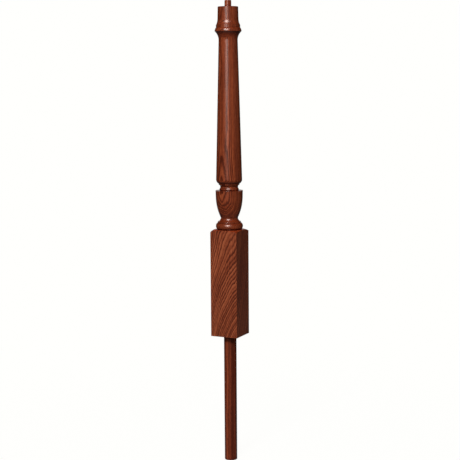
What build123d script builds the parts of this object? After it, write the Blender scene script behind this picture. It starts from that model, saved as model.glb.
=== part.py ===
from build123d import *
import os

# Volute newel post, in millimetres.
# The origin is the centre of the square block's underside and +Z points up the post.
# The block, the turnings and the top pin are one turned piece of oak.
# The long dowel below the block is a piece of its own. Its glued end is a little thinner and
# seats on the end of a blind bore, whose mouth is countersunk clear of the dowel.

os.makedirs("parts", exist_ok=True)

# Square block, from 3 inch stock
block_side = 76.2
block_height = 277.7
arris_ease = 1.2
pommel_rise = 6.4

# Torus and collar that stand on the block
torus_foot_radius = 32.3
torus_radius = 35.7
torus_top_radius = 32.2
torus_height = 16.9
torus_bulge_height = 9.5
collar_radius = 30.4
collar_height = 4.0

# Hollow between the collar and the waist of the urn
base_cove_start_radius = 28.2
base_cove_depth = 1.3
base_cove_height = 9.5
waist_radius = 22.5

# Urn
bowl_height = 53.5
bowl_radius = 35.4
urn_wall_height = 18.7
urn_rim_radius = 35.95

# Bead, hollow and fillet between the urn and the shaft
bead_foot_radius = 24.6
bead_radius = 25.3
bead_top_radius = 23.9
bead_height = 6.3
hollow_radius = 23.5
hollow_top_radius = 26.3
hollow_height = 8.5
fillet_radius = 27.3
fillet_height = 3.0

# Tapered shaft with a rounded shoulder at its foot
shoulder_foot_radius = 27.9
shoulder_height = 11.5
shaft_foot_radius = 34.2
shaft_top_radius = 24.75
shaft_length = 360.2

# Lip under the neck
lip_cove_height = 22.7
lip_radius = 34.8
lip_edge_height = 0.6
lip_crown_height = 8.8
lip_crown_radius = 31.9
band_radius = 31.4
band_height = 7.4

# Neck, which the volute sits on
neck_cove_radius = 31.0
neck_cove_height = 15.3
neck_foot_radius = 27.2
neck_radius = 26.5
neck_height = 30.9
neck_edge_round = 0.8

# Top pin, 11/16 inch across, which enters the volute
pin_radius = 8.73
pin_length = 16.8
pin_chamfer = 1.6

# Bottom dowel, 1-5/16 inch across and 13-1/2 inch long outside the block
dowel_radius = 16.67
dowel_length = 342.9
dowel_chamfer = 0.8

# Glued end of the dowel, turned down to 1-1/4 inch, and the blind bore that it is glued in
tenon_radius = 15.88
tenon_length = 76.2
tenon_chamfer = 1.6
glue_gap = 0.1
bore_mouth_gap = 0.2

# Heights of the main steps, each one standing on the one below it
foot_z = block_height + pommel_rise
torus_top_z = foot_z + torus_height
collar_top_z = torus_top_z + collar_height
waist_z = collar_top_z + base_cove_height
bowl_top_z = waist_z + bowl_height
urn_rim_z = bowl_top_z + urn_wall_height
bead_top_z = urn_rim_z + bead_height
hollow_top_z = bead_top_z + hollow_height
fillet_top_z = hollow_top_z + fillet_height
shaft_foot_z = fillet_top_z + shoulder_height
shaft_top_z = shaft_foot_z + shaft_length
lip_edge_z = shaft_top_z + lip_cove_height
lip_crown_z = lip_edge_z + lip_edge_height
band_z = lip_crown_z + lip_crown_height
band_top_z = band_z + band_height
neck_foot_z = band_top_z + neck_cove_height
neck_top_z = neck_foot_z + neck_height
pin_top_z = neck_top_z + pin_length

block_corner_radius = block_side / 2 * 2**0.5
shaft_taper = (shaft_top_radius - shaft_foot_radius, shaft_length)
shaft_taper_down = (shaft_foot_radius - shaft_top_radius, -shaft_length)
neck_taper_down = (neck_foot_radius - neck_radius, -neck_height)
urn_wall_down = (bowl_radius - urn_rim_radius, -urn_wall_height)

with BuildPart() as newel:
    # Square block, its four long arrises eased
    with BuildSketch():
        RectangleRounded(block_side, block_side, arris_ease)
    extrude(amount=foot_z)

    # Pommel: the lathe domes the top of the square, so each face ends in an arch
    with BuildSketch(Plane.XZ):
        with BuildLine():
            Polyline((0, foot_z), (0, 0), (block_corner_radius, 0), (block_corner_radius, block_height))
            TangentArc(
                (torus_foot_radius, foot_z),
                (block_corner_radius, block_height),
                tangent=(1, 0),
            )
            Line((torus_foot_radius, foot_z), (0, foot_z))
        make_face()
    revolve(axis=Axis.Z, mode=Mode.INTERSECT)

    # Turned profile, from the torus on the block up to the top pin
    with BuildSketch(Plane.XZ):
        with BuildLine():
            Polyline((0, block_height), (torus_foot_radius, block_height), (torus_foot_radius, foot_z))
            ThreePointArc(
                (torus_foot_radius, foot_z),
                (torus_radius, foot_z + torus_bulge_height),
                (torus_top_radius, torus_top_z),
            )
            Polyline(
                (torus_top_radius, torus_top_z),
                (collar_radius, torus_top_z),
                (collar_radius, collar_top_z),
                (base_cove_start_radius, collar_top_z),
            )
            SagittaArc(
                (base_cove_start_radius, collar_top_z),
                (waist_radius, waist_z),
                base_cove_depth,
            )
            TangentArc(
                (bowl_radius, bowl_top_z),
                (waist_radius, waist_z),
                tangent=urn_wall_down,
            )
            Polyline(
                (bowl_radius, bowl_top_z),
                (urn_rim_radius, urn_rim_z),
                (bead_foot_radius, urn_rim_z),
            )
            ThreePointArc(
                (bead_foot_radius, urn_rim_z),
                (bead_radius, urn_rim_z + bead_height / 2),
                (bead_top_radius, bead_top_z),
            )
            ThreePointArc(
                (bead_top_radius, bead_top_z),
                (hollow_radius, bead_top_z + hollow_height / 2),
                (hollow_top_radius, hollow_top_z),
            )
            Polyline(
                (hollow_top_radius, hollow_top_z),
                (fillet_radius, hollow_top_z),
                (fillet_radius, fillet_top_z),
                (shoulder_foot_radius, fillet_top_z),
            )
            TangentArc(
                (shaft_foot_radius, shaft_foot_z),
                (shoulder_foot_radius, fillet_top_z),
                tangent=shaft_taper_down,
            )
            Line((shaft_foot_radius, shaft_foot_z), (shaft_top_radius, shaft_top_z))
            TangentArc(
                (shaft_top_radius, shaft_top_z),
                (lip_radius, lip_edge_z),
                tangent=shaft_taper,
            )
            Line((lip_radius, lip_edge_z), (lip_radius, lip_crown_z))
            TangentArc(
                (lip_radius, lip_crown_z),
                (lip_crown_radius, band_z),
                tangent=(0, 1),
            )
            Polyline(
                (lip_crown_radius, band_z),
                (band_radius, band_z),
                (band_radius, band_top_z),
                (neck_cove_radius, band_top_z),
            )
            TangentArc(
                (neck_foot_radius, neck_foot_z),
                (neck_cove_radius, band_top_z),
                tangent=neck_taper_down,
            )
            Polyline(
                (neck_foot_radius, neck_foot_z),
                (neck_radius, neck_top_z),
                (pin_radius, neck_top_z),
                (pin_radius, pin_top_z),
                (0, pin_top_z),
                (0, block_height),
            )
        make_face()
    revolve(axis=Axis.Z)

    # Eased top edge of the neck and chamfered end of the pin
    neck_top_edges = newel.edges().filter_by(GeomType.CIRCLE).group_by(Axis.Z)[-2]
    fillet(neck_top_edges.sort_by(SortBy.RADIUS)[-1], neck_edge_round)
    chamfer(newel.edges().filter_by(GeomType.CIRCLE).sort_by(Axis.Z)[-1], pin_chamfer)

    # Blind bore for the dowel's glued end, drilled up from the underside and countersunk
    with Locations(-Plane.XY):
        CounterSinkHole(
            tenon_radius + glue_gap,
            dowel_radius + bore_mouth_gap,
            depth=tenon_length,
            counter_sink_angle=90,
        )

newel.part.label = "newel"
export_step(newel.part, "parts/newel.step")

with BuildPart() as bottom_dowel:
    # Plain round dowel below the block
    with BuildSketch():
        Circle(dowel_radius)
    extrude(amount=-dowel_length)

    # Thinner end that is glued in the bore
    with BuildSketch():
        Circle(tenon_radius)
    extrude(amount=tenon_length)

    end_edges = bottom_dowel.edges().filter_by(GeomType.CIRCLE).sort_by(Axis.Z)
    chamfer(end_edges[0], dowel_chamfer)
    chamfer(end_edges[-1], tenon_chamfer)

bottom_dowel.part.label = "bottom_dowel"
export_step(bottom_dowel.part, "parts/bottom_dowel.step")
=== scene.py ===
import math

import bpy
from mathutils import Matrix, Vector


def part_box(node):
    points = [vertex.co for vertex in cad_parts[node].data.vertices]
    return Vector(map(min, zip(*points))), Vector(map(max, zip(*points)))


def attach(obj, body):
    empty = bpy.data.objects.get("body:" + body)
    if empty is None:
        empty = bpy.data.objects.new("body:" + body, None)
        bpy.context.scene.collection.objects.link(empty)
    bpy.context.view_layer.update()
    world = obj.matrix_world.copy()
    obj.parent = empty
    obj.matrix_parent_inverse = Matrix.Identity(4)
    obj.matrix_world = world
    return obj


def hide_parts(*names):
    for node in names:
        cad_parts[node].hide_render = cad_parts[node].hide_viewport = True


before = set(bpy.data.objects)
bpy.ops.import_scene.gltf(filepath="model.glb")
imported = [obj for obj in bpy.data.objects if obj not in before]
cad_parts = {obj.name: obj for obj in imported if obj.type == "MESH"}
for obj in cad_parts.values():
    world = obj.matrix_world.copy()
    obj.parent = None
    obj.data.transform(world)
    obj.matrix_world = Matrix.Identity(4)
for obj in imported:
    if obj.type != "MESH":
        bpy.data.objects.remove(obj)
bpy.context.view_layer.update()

# Volute newel post in its studio setting. Metres; the origin is the centre of the block's underside.

scene = bpy.context.scene
scene.view_settings.view_transform = "Standard"

# Square block and pommel
block_half = 0.0381
block_height = 0.2777
arris_ease = 0.0012
pommel_rise = 0.0064

# Torus and collar that stand on the block
torus_foot_radius = 0.0323
torus_radius = 0.0357
torus_top_radius = 0.0322
torus_height = 0.0169
torus_bulge_height = 0.0095
collar_radius = 0.0304
collar_height = 0.0040

# Hollow between the collar and the waist of the urn
base_cove_start_radius = 0.0282
base_cove_depth = 0.0013
base_cove_height = 0.0095
waist_radius = 0.0225

# Urn
bowl_height = 0.0535
bowl_radius = 0.0354
urn_wall_height = 0.0187
urn_rim_radius = 0.03595

# Bead, hollow and fillet between the urn and the shaft
bead_foot_radius = 0.0246
bead_radius = 0.0253
bead_top_radius = 0.0239
bead_height = 0.0063
hollow_radius = 0.0235
hollow_top_radius = 0.0263
hollow_height = 0.0085
fillet_radius = 0.0273
fillet_height = 0.0030

# Tapered shaft with a rounded shoulder at its foot
shoulder_foot_radius = 0.0279
shoulder_height = 0.0115
shaft_foot_radius = 0.0342
shaft_top_radius = 0.02475
shaft_length = 0.3602

# Lip under the neck
lip_cove_height = 0.0227
lip_radius = 0.0348
lip_edge_height = 0.0006
lip_crown_height = 0.0088
lip_crown_radius = 0.0319
band_radius = 0.0314
band_height = 0.0074

# Neck
neck_cove_radius = 0.0310
neck_cove_height = 0.0153
neck_foot_radius = 0.0272
neck_radius = 0.0265
neck_height = 0.0309
neck_edge_round = 0.0008

# Top pin and the bore under the block
pin_radius = 0.00873
pin_length = 0.0168
pin_chamfer = 0.0016
bore_radius = 0.01598
bore_depth = 0.0762
bore_mouth_radius = 0.01687

# Softening of the turned edges, at bends sharper than this angle, and of the block's sawn ends
edge_round = 0.00035
sharp_bend = math.radians(24)
longest_cut_share = 0.45
block_ease = 0.0004

foot_z = block_height + pommel_rise
torus_top_z = foot_z + torus_height
collar_top_z = torus_top_z + collar_height
waist_z = collar_top_z + base_cove_height
bowl_top_z = waist_z + bowl_height
urn_rim_z = bowl_top_z + urn_wall_height
bead_top_z = urn_rim_z + bead_height
hollow_top_z = bead_top_z + hollow_height
fillet_top_z = hollow_top_z + fillet_height
shaft_foot_z = fillet_top_z + shoulder_height
shaft_top_z = shaft_foot_z + shaft_length
lip_edge_z = shaft_top_z + lip_cove_height
lip_crown_z = lip_edge_z + lip_edge_height
band_z = lip_crown_z + lip_crown_height
band_top_z = band_z + band_height
neck_foot_z = band_top_z + neck_cove_height
neck_top_z = neck_foot_z + neck_height
pin_top_z = neck_top_z + pin_length


def arc_points(centre, start, end, steps):
    """Points on the shorter arc from start to end round the centre."""
    first = math.atan2(start[1] - centre[1], start[0] - centre[0])
    last = math.atan2(end[1] - centre[1], end[0] - centre[0])
    turn = (last - first + math.pi) % (2 * math.pi) - math.pi
    radius = math.dist(centre, start)
    points = []
    for i in range(1, steps):
        angle = first + turn * i / steps
        points.append((centre[0] + radius * math.cos(angle), centre[1] + radius * math.sin(angle)))
    points.append(end)
    return points


def tangent_arc(start, end, tangent, steps):
    """Arc from start to end that leaves start along the tangent."""
    chord = Vector(end) - Vector(start)
    normal = Vector((-tangent[1], tangent[0])).normalized()
    offset = chord.length_squared / (2 * chord.dot(normal))
    centre = Vector(start) + normal * offset
    return arc_points(tuple(centre), start, end, steps)


def three_point_arc(start, middle, end, steps):
    """Arc from start through middle to end."""
    ax, ay = start
    bx, by = middle
    cx, cy = end
    divisor = 2 * (ax * (by - cy) + bx * (cy - ay) + cx * (ay - by))
    a_squared = ax * ax + ay * ay
    b_squared = bx * bx + by * by
    c_squared = cx * cx + cy * cy
    centre = (
        (a_squared * (by - cy) + b_squared * (cy - ay) + c_squared * (ay - by)) / divisor,
        (a_squared * (cx - bx) + b_squared * (ax - cx) + c_squared * (bx - ax)) / divisor,
    )
    half = steps // 2
    return arc_points(centre, start, middle, half) + arc_points(centre, middle, end, steps - half)


def line_points(start, end, steps):
    """Evenly spaced points on the way from start to end."""
    points = []
    for i in range(1, steps + 1):
        t = i / steps
        points.append((start[0] + (end[0] - start[0]) * t, start[1] + (end[1] - start[1]) * t))
    return points


def soften(points, size):
    """Rounds each sharp corner of a profile by a small cut."""
    out = [points[0]]
    for i in range(1, len(points) - 1):
        here = Vector(points[i])
        back = Vector(points[i - 1]) - here
        ahead = Vector(points[i + 1]) - here
        bend = math.pi - back.angle(ahead)
        if bend < sharp_bend:
            out.append(points[i])
            continue
        cut = min(size, back.length * longest_cut_share, ahead.length * longest_cut_share)
        enter = here + back.normalized() * cut
        leave = here + ahead.normalized() * cut
        for t in (0.0, 0.33, 0.67, 1.0):
            point = enter * (1 - t) ** 2 + here * 2 * t * (1 - t) + leave * t**2
            out.append(tuple(point))
    out.append(points[-1])
    return out


def turned_profile():
    """Half outline of the turnings, from the torus's foot to the pin's top."""
    points = [(torus_foot_radius, foot_z)]
    points += three_point_arc(
        points[-1], (torus_radius, foot_z + torus_bulge_height), (torus_top_radius, torus_top_z), 20
    )
    points.append((collar_radius, torus_top_z))
    points += line_points(points[-1], (collar_radius, collar_top_z), 2)
    points.append((base_cove_start_radius, collar_top_z))
    cove_start = Vector(points[-1])
    cove_end = Vector((waist_radius, waist_z))
    chord = cove_end - cove_start
    inward = Vector((-chord.y, chord.x)).normalized()
    cove_middle = (cove_start + cove_end) / 2 + inward * base_cove_depth
    points += three_point_arc(points[-1], tuple(cove_middle), (waist_radius, waist_z), 12)
    wall_down = (bowl_radius - urn_rim_radius, -urn_wall_height)
    bowl = tangent_arc((bowl_radius, bowl_top_z), (waist_radius, waist_z), wall_down, 26)
    points += list(reversed(bowl[:-1]))
    points.append((bowl_radius, bowl_top_z))
    points += line_points(points[-1], (urn_rim_radius, urn_rim_z), 6)
    points += line_points(points[-1], (bead_foot_radius, urn_rim_z), 3)
    points += three_point_arc(
        points[-1], (bead_radius, urn_rim_z + bead_height / 2), (bead_top_radius, bead_top_z), 12
    )
    points += three_point_arc(
        points[-1],
        (hollow_radius, bead_top_z + hollow_height / 2),
        (hollow_top_radius, hollow_top_z),
        14,
    )
    points.append((fillet_radius, hollow_top_z))
    points += line_points(points[-1], (fillet_radius, fillet_top_z), 2)
    points.append((shoulder_foot_radius, fillet_top_z))
    shaft_down = (shaft_foot_radius - shaft_top_radius, -shaft_length)
    shoulder = tangent_arc(
        (shaft_foot_radius, shaft_foot_z), (shoulder_foot_radius, fillet_top_z), shaft_down, 16
    )
    points += list(reversed(shoulder[:-1]))
    points.append((shaft_foot_radius, shaft_foot_z))
    points += line_points(points[-1], (shaft_top_radius, shaft_top_z), 40)
    shaft_up = (shaft_top_radius - shaft_foot_radius, shaft_length)
    points += tangent_arc(points[-1], (lip_radius, lip_edge_z), shaft_up, 22)
    points.append((lip_radius, lip_crown_z))
    points += tangent_arc(points[-1], (lip_crown_radius, band_z), (0, 1), 14)
    points.append((band_radius, band_z))
    points += line_points(points[-1], (band_radius, band_top_z), 3)
    points.append((neck_cove_radius, band_top_z))
    neck_down = (neck_foot_radius - neck_radius, -neck_height)
    cove = tangent_arc((neck_foot_radius, neck_foot_z), (neck_cove_radius, band_top_z), neck_down, 16)
    points += list(reversed(cove[:-1]))
    points.append((neck_foot_radius, neck_foot_z))
    points += line_points(points[-1], (neck_radius, neck_top_z - neck_edge_round), 6)
    round_centre = (neck_radius - neck_edge_round, neck_top_z - neck_edge_round)
    points += arc_points(round_centre, points[-1], (neck_radius - neck_edge_round, neck_top_z), 5)
    points += line_points(points[-1], (pin_radius, neck_top_z), 3)
    points += line_points(points[-1], (pin_radius, pin_top_z - pin_chamfer), 4)
    points.append((pin_radius - pin_chamfer, pin_top_z))
    points.append((0.0, pin_top_z))
    return soften(points, edge_round)


def block_reach(angle):
    """Distance from the axis to the rounded square's outline in that direction."""
    longer = max(abs(math.cos(angle)), abs(math.sin(angle)))
    shorter = min(abs(math.cos(angle)), abs(math.sin(angle)))
    flat = block_half / longer
    corner = block_half - arris_ease
    if flat * shorter <= corner:
        return flat
    along = corner * (longer + shorter)
    return along + math.sqrt(max(along * along - 2 * corner * corner + arris_ease**2, 0.0))


def dome_height(radius):
    """Height of the pommel's dome at that distance from the axis."""
    reach = block_half * math.sqrt(2) - torus_foot_radius
    dome_radius = (reach * reach + pommel_rise**2) / (2 * pommel_rise)
    out = max(radius - torus_foot_radius, 0.0)
    return foot_z - dome_radius + math.sqrt(dome_radius**2 - out**2)


def spoke_angles():
    """Directions of the mesh's spokes, closer together round the block's four arrises."""
    arris_half = math.atan2(block_half, block_half - arris_ease) - math.pi / 4
    flats = 54
    arris = 6
    side_angles = []
    for i in range(flats):
        side_angles.append(-math.pi / 4 + arris_half + (math.pi / 2 - 2 * arris_half) * i / flats)
    for i in range(arris):
        side_angles.append(math.pi / 4 - arris_half + 2 * arris_half * i / arris)
    angles = []
    for quarter in range(4):
        for angle in side_angles:
            angles.append(angle + quarter * math.pi / 2)
    return angles


def block_spoke(angle):
    """One spoke of the block: from the bore's centre out, up the side and over the dome."""
    underside_margin = 0.002
    end_row = 0.0025
    side_rows = 40
    dome_rows = 16
    reach = block_reach(angle)
    top = dome_height(reach)
    points = [(0.0, bore_depth), (bore_radius * 0.5, bore_depth), (bore_radius, bore_depth)]
    points += line_points(points[-1], (bore_radius, bore_mouth_radius - bore_radius), 2)
    points.append((bore_mouth_radius, 0.0))
    points += line_points(points[-1], (reach - underside_margin, 0.0), 3)
    inner = reach - block_ease
    points += [(inner, 0.0), (reach - block_ease * 0.3, block_ease * 0.3), (reach, block_ease)]
    points.append((reach, end_row))
    points += line_points(points[-1], (reach, top - end_row), side_rows)
    points += [(reach, top - block_ease), (reach - block_ease * 0.25, top - block_ease * 0.15)]
    points.append((inner, dome_height(inner)))
    for i in range(1, dome_rows + 1):
        radius = inner + (torus_foot_radius - inner) * i / dome_rows
        points.append((radius, dome_height(radius)))
    return points


def lathe_mesh(name, spokes, angles):
    """Closed mesh from one list of (radius, height) points for each direction."""
    count = len(angles)
    rows = len(spokes[0])
    verts = [(0.0, 0.0, spokes[0][0][1])]
    for row in range(1, rows - 1):
        for spoke, angle in zip(spokes, angles):
            radius, height = spoke[row]
            verts.append((radius * math.cos(angle), radius * math.sin(angle), height))
    verts.append((0.0, 0.0, spokes[0][-1][1]))
    faces = []
    for i in range(count):
        j = (i + 1) % count
        faces.append((0, 1 + j, 1 + i))
        for row in range(rows - 3):
            low = 1 + row * count
            faces.append((low + i, low + j, low + count + j, low + count + i))
        last = 1 + (rows - 3) * count
        faces.append((last + i, last + j, len(verts) - 1))
    mesh = bpy.data.meshes.new(name)
    mesh.from_pydata(verts, [], faces)
    mesh.polygons.foreach_set("use_smooth", [True] * len(faces))
    mesh.update()
    return mesh


def add(tree, kind, inputs=None, **settings):
    """Adds a node. An input is a plain value or another node's socket, a setting is a property."""
    node = tree.nodes.new(kind)
    for key, value in settings.items():
        setattr(node, key, value)
    for key, value in (inputs or {}).items():
        if isinstance(value, bpy.types.NodeSocket):
            tree.links.new(value, node.inputs[key])
        else:
            node.inputs[key].default_value = value
    return node


def math_of(tree, operation, *values, clamp=False):
    """One arithmetic step on numbers or sockets."""
    inputs = dict(enumerate(values))
    return add(tree, "ShaderNodeMath", inputs, operation=operation, use_clamp=clamp).outputs[0]


def vector_of(tree, operation, first, second):
    """One step on two vectors, as a node."""
    return add(tree, "ShaderNodeVectorMath", {0: first, 1: second}, operation=operation)


def times(tree, value, other):
    """Product of two numbers."""
    return math_of(tree, "MULTIPLY", value, other)


def blend(tree, base, *terms):
    """Base plus each term's value times its weight."""
    for value, weight in terms:
        base = math_of(tree, "MULTIPLY_ADD", value, weight, base)
    return base


def dimmed(tree, colour, level):
    """Colour times one number."""
    return add(tree, "ShaderNodeVectorMath", {0: colour, "Scale": level}, operation="SCALE").outputs[0]


def noise_of(tree, vector, scale, detail=2.0, roughness=0.5):
    """Smooth noise with its own number of waves per metre along each axis."""
    stretched = vector_of(tree, "MULTIPLY", vector, scale).outputs[0]
    inputs = {"Vector": stretched, "Scale": 1.0, "Detail": detail, "Roughness": roughness}
    return add(tree, "ShaderNodeTexNoise", inputs).outputs["Fac"]


def white_noise_of(tree, number):
    """The same random value each time for the same whole number."""
    return add(tree, "ShaderNodeTexWhiteNoise", {"W": number}, noise_dimensions="1D").outputs["Value"]


def span(tree, value, low, high, to_low, to_high, smooth=False):
    """Passes from to_low to to_high while the value goes from low to high."""
    inputs = {"Value": value, "From Min": low, "From Max": high, "To Min": to_low, "To Max": to_high}
    kind = "SMOOTHSTEP" if smooth else "LINEAR"
    return add(tree, "ShaderNodeMapRange", inputs, interpolation_type=kind).outputs["Result"]


def ramp_of(tree, value, stops):
    """Colour that passes through the stops, each a position and a colour."""
    node = add(tree, "ShaderNodeValToRGB", {"Fac": value})
    elements = node.color_ramp.elements
    while len(elements) < len(stops):
        elements.new(0.5)
    for element, (position, colour) in zip(elements, stops):
        element.position = position
        element.color = (*colour, 1.0)
    return node.outputs["Color"]


def occlusion_of(tree, distance):
    """1 in the open, less where other surfaces are within the distance."""
    return add(tree, "ShaderNodeAmbientOcclusion", {"Distance": distance}, samples=8).outputs["AO"]


# Heights between which the block's grain and stain give way to those of the turnings
turnings_low = 0.275
turnings_high = 0.295

# Stretch of the urn on which the rings nearest the pith lie closest together, and its soft ends
urn_rings_low = 0.300
urn_rings_high = 0.417
urn_rings_fade = 0.002

# Share of open surroundings at which a hollow gets the deepest painted shade, and at which it gets none
hollow_closed = 0.40
hollow_open = 0.92


def pith_distance(tree, moved, place):
    """Distance from the pith, which lies behind the post and drifts as it rises."""
    height = place["Z"]
    rise = span(tree, height, 0.0, 0.285, 0.0, 0.285)
    curve = times(tree, rise, rise)
    crossing = span(tree, height, 0.283, 0.322, 0.0, 1.0, smooth=True)
    shaft_drift = span(tree, height, 0.50, 0.77, 0.0, 0.0072)
    pith_x = blend(tree, 0.102, (rise, -0.12), (crossing, -0.0646))
    pith_y = blend(tree, 0.050, (rise, 0.52), (curve, -0.65), (crossing, -0.098), (shaft_drift, 1.0))
    across = math_of(tree, "SUBTRACT", place["X"], pith_x)
    deep = math_of(tree, "SUBTRACT", place["Y"], pith_y)
    squared = math_of(tree, "ADD", math_of(tree, "POWER", across, 2.0), math_of(tree, "POWER", deep, 2.0))
    distance = math_of(tree, "SQRT", squared)

    # The grain's waves are drawn out along the shaft
    shaft_start = 0.40
    above = math_of(tree, "MAXIMUM", math_of(tree, "SUBTRACT", height, shaft_start), 0.0)
    drawn_out = add(tree, "ShaderNodeCombineXYZ", {2: times(tree, above, -0.7)}).outputs[0]
    wavy_place = vector_of(tree, "ADD", moved, drawn_out).outputs[0]
    sway = noise_of(tree, wavy_place, (16.0, 16.0, 5.0))
    wander = noise_of(tree, wavy_place, (48.0, 48.0, 15.0))
    wander_reach = span(tree, height, 0.27, turnings_high, 0.0026, 0.0045)
    quiver = noise_of(tree, wavy_place, (130.0, 130.0, 22.0))
    return blend(tree, distance, (sway, 0.008), (wander, wander_reach), (quiver, 0.0018))


def ring_count(tree, distance, height, ring_width):
    """Growth rings out to that distance, and how far (below 0) it is inside the urn's closest rings."""
    slow_radius = 0.10
    slow_width = ring_width * 0.6
    tight_radius = 0.0815
    tight_width = ring_width * 0.36
    foot = span(tree, height, urn_rings_low, urn_rings_low + urn_rings_fade, 0.0, tight_radius)
    head = span(tree, height, urn_rings_high - urn_rings_fade, urn_rings_high, 1.0, 0.0)
    tight_edge = times(tree, foot, head)
    inside = math_of(tree, "SUBTRACT", math_of(tree, "MINIMUM", distance, tight_edge), tight_edge)
    beyond = math_of(tree, "MAXIMUM", distance, tight_edge)
    slow = math_of(tree, "MINIMUM", beyond, slow_radius)
    fast = math_of(tree, "MAXIMUM", math_of(tree, "SUBTRACT", beyond, slow_radius), 0.0)
    count = math_of(tree, "DIVIDE", slow, slow_width)
    for length, width in ((fast, ring_width), (inside, tight_width)):
        count = math_of(tree, "ADD", count, math_of(tree, "DIVIDE", length, width))
    return count, inside


def early_wood(tree, count, year, height):
    """1 in the pale early wood of a ring and 0 in its dark line, some lines fainter than others."""
    ring = math_of(tree, "FRACT", count)
    levels = ((0.0, 0.2), (0.1, 0.0), (0.32, 0.5), (0.6, 1.0), (0.9, 0.9), (1.0, 0.2))
    early = ramp_of(tree, ring, [(position, (level,) * 3) for position, level in levels])
    line_tone = white_noise_of(tree, math_of(tree, "ADD", year, 57.3))
    weakest = span(tree, height, turnings_low, turnings_high, 0.35, 0.90)
    line = times(tree, math_of(tree, "SUBTRACT", 1.0, early), span(tree, line_tone, 0.0, 1.0, weakest, 1.25))
    return math_of(tree, "SUBTRACT", 1.0, line)


def stain_wear_and_painted_light(tree, colour, height):
    """Stain worn thin on the edges, with painted shade in the coves, seams and undersides, painted light on
    the upward faces of the pommel's dome and painted shade on those of the turnings.
    """
    # Painted shade: coves and grooves are darkened where other surfaces close in
    hollow = occlusion_of(tree, 0.008)
    # Painted shade: a thin dark line in the inner corner of each small step
    seam = occlusion_of(tree, 0.0014)
    surface = add(tree, "ShaderNodeNewGeometry")
    upright = add(tree, "ShaderNodeSeparateXYZ", {0: surface.outputs["Normal"]}).outputs["Z"]
    painted_hollow_shade = span(tree, hollow, hollow_closed, hollow_open, 0.19, 1.0)
    painted_seam_shade = span(tree, seam, 0.55, 0.92, 0.72, 1.0)
    worn = span(tree, surface.outputs["Pointiness"], 0.53, 0.62, 1.0, 1.25)
    # Painted shade: surfaces that face downward, as under the lip, are darkened
    underside = span(tree, upright, -0.75, -0.20, 0.40, 1.0)
    # Painted light and shade on upward faces: lighter on the pommel's dome, darker on the turnings' flat
    # tops
    painted_top_light_level = span(tree, height, 0.29, 0.31, 1.90, 0.85)
    painted_top_light = span(tree, upright, 0.93, 0.98, 1.0, painted_top_light_level)
    for level in (times(tree, times(tree, painted_hollow_shade, painted_seam_shade), worn), underside, painted_top_light):
        colour = dimmed(tree, colour, level)

    # Green and blue left on the turnings, in the coves and on the end grain, so that these are redder; in
    # the coves it is painted shade
    tilt = math_of(tree, "ABSOLUTE", upright)
    shares = []
    for turned_share, hollow_shade_share, end_share in ((1.0, 1.0, 1.0), (0.90, 0.45, 0.68), (0.78, 0.35, 0.45)):
        turned = span(tree, height, turnings_low, turnings_high, 1.0, turned_share)
        # Painted shade: in hollows green and blue drop more than red, so they turn darker and redder
        deep = span(tree, hollow, hollow_closed, hollow_open, hollow_shade_share, 1.0)
        end = span(tree, tilt, 0.15, 0.90, 1.0, end_share)
        shares.append(times(tree, times(tree, turned, deep), end))
    redder = add(tree, "ShaderNodeCombineXYZ", dict(enumerate(shares))).outputs[0]
    return vector_of(tree, "MULTIPLY", colour, redder).outputs[0]


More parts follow.
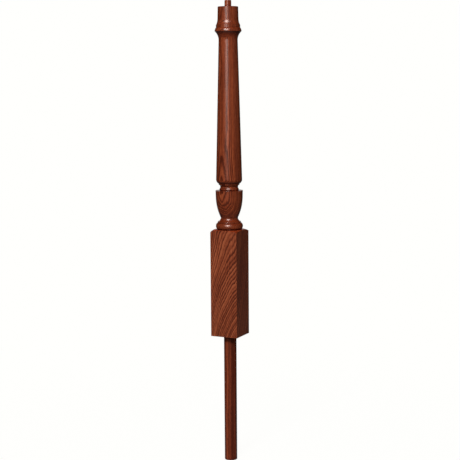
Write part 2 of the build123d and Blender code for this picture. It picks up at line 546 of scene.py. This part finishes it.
def oak(name, dark, middle, light, roughness, index, lacquer, ring_width, heart_shade, seed):
    """Stained red oak: growth rings round a pith line, fibres, pores and a coat of lacquer.

    Index is the refractive index under the coat, the heart share is how much darker the heartwood is, which
    on the dowel is painted shade on its side away from the lamps, and seed moves the fine grain, so that two
    pieces don't share it.
    """
    material = bpy.data.materials.new(name)
    material.use_nodes = True
    tree = material.node_tree
    tree.nodes.clear()
    position = add(tree, "ShaderNodeTexCoord").outputs["Object"]
    moved = vector_of(tree, "ADD", position, (0.0, 0.0, seed)).outputs[0]
    place = add(tree, "ShaderNodeSeparateXYZ", {0: position}).outputs
    height = place["Z"]
    distance = pith_distance(tree, moved, place)
    count, inside = ring_count(tree, distance, height, ring_width)
    year = math_of(tree, "FLOOR", count)
    year_tone = white_noise_of(tree, year)
    early = early_wood(tree, count, year, height)

    fibre = noise_of(tree, moved, (430.0, 430.0, 10.0), detail=3.0, roughness=0.6)
    fleck = noise_of(tree, moved, (400.0, 400.0, 130.0), detail=1.0)
    blotch = noise_of(tree, moved, (26.0, 26.0, 9.0))
    pore_field = noise_of(tree, moved, (2300.0, 2300.0, 75.0), detail=1.0)
    pore = times(tree, span(tree, pore_field, 0.56, 0.68, 0.0, 1.0), span(tree, early, 0.0, 0.8, 1.0, 0.25))

    # The rings show most in the urn's closest ones, and least on the upper shaft
    figure = blend(tree, -0.97, (early, 0.85), (year_tone, 0.44), (blotch, 0.30))
    strength = span(tree, height, 0.40, 0.70, 1.0, 0.50, smooth=True)
    strength = times(tree, strength, span(tree, inside, -0.003, 0.0, 1.6, 1.0))
    tone = blend(tree, times(tree, figure, strength), (fibre, 0.85), (fleck, 0.55))

    # Darker heartwood, which on the dowel is painted shade on its side away from the lamps, and a darker
    # stain on the turnings, least so on the shaft
    heartwood_shade = span(tree, distance, 0.1190, 0.1260, heart_shade, 0.0, smooth=True)
    turned = span(tree, height, turnings_low, turnings_high, 0.20, 0.245, smooth=True)
    shaft = span(tree, height, 0.40, 0.52, 0.0, 0.07)
    neck = span(tree, height, 0.74, 0.80, 0.0, 0.07)
    tone = blend(tree, tone, (heartwood_shade, -1.0), (turned, -1.0), (shaft, 1.0), (neck, -1.0))
    tone = math_of(tree, "MULTIPLY_ADD", pore, -0.28, tone, clamp=True)
    colour = ramp_of(tree, tone, [(0.05, dark), (0.5, middle), (0.95, light)])
    # Painted shade in hollows, seams and undersides, and painted light on the dome's upward faces, over the
    # stain's wear on the edges
    colour = stain_wear_and_painted_light(tree, colour, height)

    relief = blend(tree, times(tree, pore, -1.0), (fibre, 0.35), (early, 0.25))
    bump = add(tree, "ShaderNodeBump", {"Strength": 0.35, "Distance": 0.0001, "Height": relief})
    rough = blend(tree, roughness - 0.06, (fibre, 0.12), (pore, 0.12))
    inputs = {
        "Base Color": colour,
        "Roughness": rough,
        "IOR": index,
        "Specular Tint": (1.0, 0.62, 0.50, 1.0),
        "Normal": bump.outputs["Normal"],
        "Coat Weight": lacquer,
        "Coat Roughness": 0.22,
        "Coat IOR": 1.5,
        "Coat Normal": bump.outputs["Normal"],
    }
    shader = add(tree, "ShaderNodeBsdfPrincipled", inputs)
    add(tree, "ShaderNodeOutputMaterial", {"Surface": shader.outputs["BSDF"]})
    return material


newel_wood = oak(
    "newel_wood",
    dark=(0.067, 0.0115, 0.0044),
    middle=(0.175, 0.035, 0.0130),
    light=(0.300, 0.076, 0.0300),
    roughness=0.32,
    index=1.46,
    lacquer=0.46,
    ring_width=0.0031,
    heart_shade=0.0,
    seed=0.0,
)
# The dowel's darker heartwood is painted shade on its side away from the lamps
dowel_wood = oak(
    "dowel_wood",
    dark=(0.054, 0.0082, 0.0030),
    middle=(0.155, 0.027, 0.009),
    light=(0.240, 0.050, 0.018),
    roughness=0.50,
    index=1.33,
    lacquer=0.0,
    ring_width=0.0030,
    heart_shade=0.46,
    seed=3.7,
)

angles = spoke_angles()
turned = turned_profile()
spokes = []
for angle in angles:
    spokes.append(block_spoke(angle) + turned[1:])
newel = bpy.data.objects.new("newel_turned", lathe_mesh("newel_turned", spokes, angles))
scene.collection.objects.link(newel)
newel.data.materials.append(newel_wood)
weighted = newel.modifiers.new("weighted_normals", "WEIGHTED_NORMAL")
weighted.weight = 90
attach(newel, "root")
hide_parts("newel")

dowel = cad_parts["bottom_dowel"]
dowel.material_slots[0].material = dowel_wood

# Directions of the photograph's view, seen from the post
view_azimuth = math.radians(26.02)
level_right = Vector((math.cos(view_azimuth), math.sin(view_azimuth), 0.0))
level_ahead = Vector((-math.sin(view_azimuth), math.cos(view_azimuth), 0.0))
up = Vector((0, 0, 1))
studio_white = (1.0, 1.0, 0.982, 1.0)


def mirror_rays(tree, seen):
    """1 for the rays that metal and glass reflect or let through."""
    return math_of(tree, "MAXIMUM", seen["Is Glossy Ray"], seen["Is Transmission Ray"])


def floor_material():
    """Plain studio white that keeps the post's shadow."""
    paper = bpy.data.materials.new("studio_floor")
    paper.use_nodes = True
    tree = paper.node_tree
    tree.nodes.clear()
    seen = add(tree, "ShaderNodeLightPath").outputs
    place = add(tree, "ShaderNodeTexCoord").outputs["Object"]
    reach = add(tree, "ShaderNodeVectorMath", {0: place}, operation="LENGTH").outputs["Value"]
    outward = add(tree, "ShaderNodeVectorMath", {0: place}, operation="NORMALIZE").outputs[0]
    behind = vector_of(tree, "DOT_PRODUCT", outward, tuple(level_ahead)).outputs["Value"]
    behind = span(tree, behind, 0.93, 0.99, 0.0, 1.0, smooth=True)
    shown = times(tree, mirror_rays(tree, seen), behind)
    shown = math_of(tree, "MAXIMUM", shown, seen["Is Camera Ray"])

    # Matte share: a painted pool of light, pale near the post and dim farther out, for the light that it
    # throws back on the post
    painted_light_pool = span(tree, reach, 0.25, 0.9, 0.25, 0.04, smooth=True)
    level = math_of(tree, "MAXIMUM", painted_light_pool, times(tree, seen["Is Camera Ray"], 0.8))
    grain = noise_of(tree, place, (40.0, 40.0, 40.0))
    level = times(tree, level, span(tree, grain, 0.3, 0.7, 0.97, 1.0))
    matte_colour = add(tree, "ShaderNodeCombineXYZ", {0: level, 1: level, 2: level}).outputs[0]
    matte = add(tree, "ShaderNodeBsdfDiffuse", {"Color": matte_colour}).outputs[0]
    white = add(tree, "ShaderNodeEmission", {"Color": studio_white, "Strength": 1.0}).outputs[0]
    share = times(tree, shown, span(tree, reach, 0.3, 1.6, 0.96, 1.0, smooth=True))
    mix = add(tree, "ShaderNodeMixShader", {0: share, 1: matte, 2: white})
    add(tree, "ShaderNodeOutputMaterial", {"Surface": mix.outputs[0]})
    return paper


# Floor at the dowel's lower end
floor_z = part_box("bottom_dowel")[0].z
floor_half = 6.0
floor_corners = []
for x, y in ((-1, -1), (1, -1), (1, 1), (-1, 1)):
    floor_corners.append((x * floor_half, y * floor_half, floor_z))
floor_mesh = bpy.data.meshes.new("floor")
floor_mesh.from_pydata(floor_corners, [], [(0, 1, 2, 3)])
floor_mesh.materials.append(floor_material())
floor = bpy.data.objects.new("floor", floor_mesh)
scene.collection.objects.link(floor)

# Surroundings: studio white behind the post, dim elsewhere, and a weak even light on the object
ambient_level = 0.06
world = bpy.data.worlds.new("studio")
scene.world = world
world.use_nodes = True
tree = world.node_tree
tree.nodes.clear()
seen = add(tree, "ShaderNodeLightPath").outputs
direction = add(tree, "ShaderNodeTexCoord").outputs["Generated"]
facing = vector_of(tree, "DOT_PRODUCT", direction, tuple(level_ahead)).outputs["Value"]
mirrored_level = span(tree, facing, 0.975, 0.998, 0.012, 1.0, smooth=True)
difference = math_of(tree, "SUBTRACT", mirrored_level, ambient_level)
level = blend(tree, ambient_level, (mirror_rays(tree, seen), difference))
level = math_of(tree, "MAXIMUM", level, seen["Is Camera Ray"])
background = add(tree, "ShaderNodeBackground", {"Color": studio_white, "Strength": level})
add(tree, "ShaderNodeOutputWorld", {"Surface": background.outputs[0]})

# Camera: 90 mm lens about 3 m in front of the post, turned to show the block's two faces
view_pitch = math.radians(7.298)
view_roll = math.radians(-0.402)
view_distance = 3.0131
view_height = 0.6672
view_side = 0.00139
ahead = math.cos(view_pitch) * level_ahead - math.sin(view_pitch) * up
level_up = math.sin(view_pitch) * level_ahead + math.cos(view_pitch) * up
right = math.cos(view_roll) * level_right + math.sin(view_roll) * level_up
upward = math.cos(view_roll) * level_up - math.sin(view_roll) * level_right
stand = view_side * level_right - view_distance * level_ahead + view_height * up
camera_data = bpy.data.cameras.new("camera")
camera_data.lens = 90.0
camera_data.sensor_width = 36.0
camera = bpy.data.objects.new("camera", camera_data)
rotation = Matrix((right, upward, -ahead)).transposed()
camera.matrix_world = Matrix.Translation(stand) @ rotation.to_4x4()
scene.collection.objects.link(camera)
scene.camera = camera


def softbox(name, turn, elevation, distance, width, height, power, aim_z, mirrored=True):
    """Area light, turn degrees to the left of the camera and elevation degrees up, seen from the post."""
    bearing = view_azimuth - math.radians(turn)
    flat = Vector((math.sin(bearing), -math.cos(bearing), 0.0))
    towards = math.cos(math.radians(elevation)) * flat + math.sin(math.radians(elevation)) * up
    data = bpy.data.lights.new(name, "AREA")
    data.shape = "RECTANGLE"
    data.size = width
    data.size_y = height
    data.energy = power
    light = bpy.data.objects.new(name, data)
    light.location = aim_z * up + distance * towards
    light.rotation_euler = towards.to_track_quat("Z", "Y").to_euler()
    light.visible_glossy = mirrored
    scene.collection.objects.link(light)


softbox("key", 21.0, 36.0, distance=5.0, width=1.2, height=1.0, power=170.0, aim_z=0.2)
softbox("wing", 4.0, 36.0, distance=5.0, width=1.6, height=1.2, power=88.0, aim_z=0.2)
softbox("strip", 18.5, 4.9, distance=4.0, width=1.8, height=0.9, power=28.5, aim_z=0.85)
softbox("fill", -72.0, 12.0, distance=2.4, width=1.4, height=1.4, power=8.4, aim_z=0.2, mirrored=False)
softbox("rear", 180.0, 38.0, distance=5.0, width=2.0, height=2.0, power=190.0, aim_z=0.2, mirrored=False)
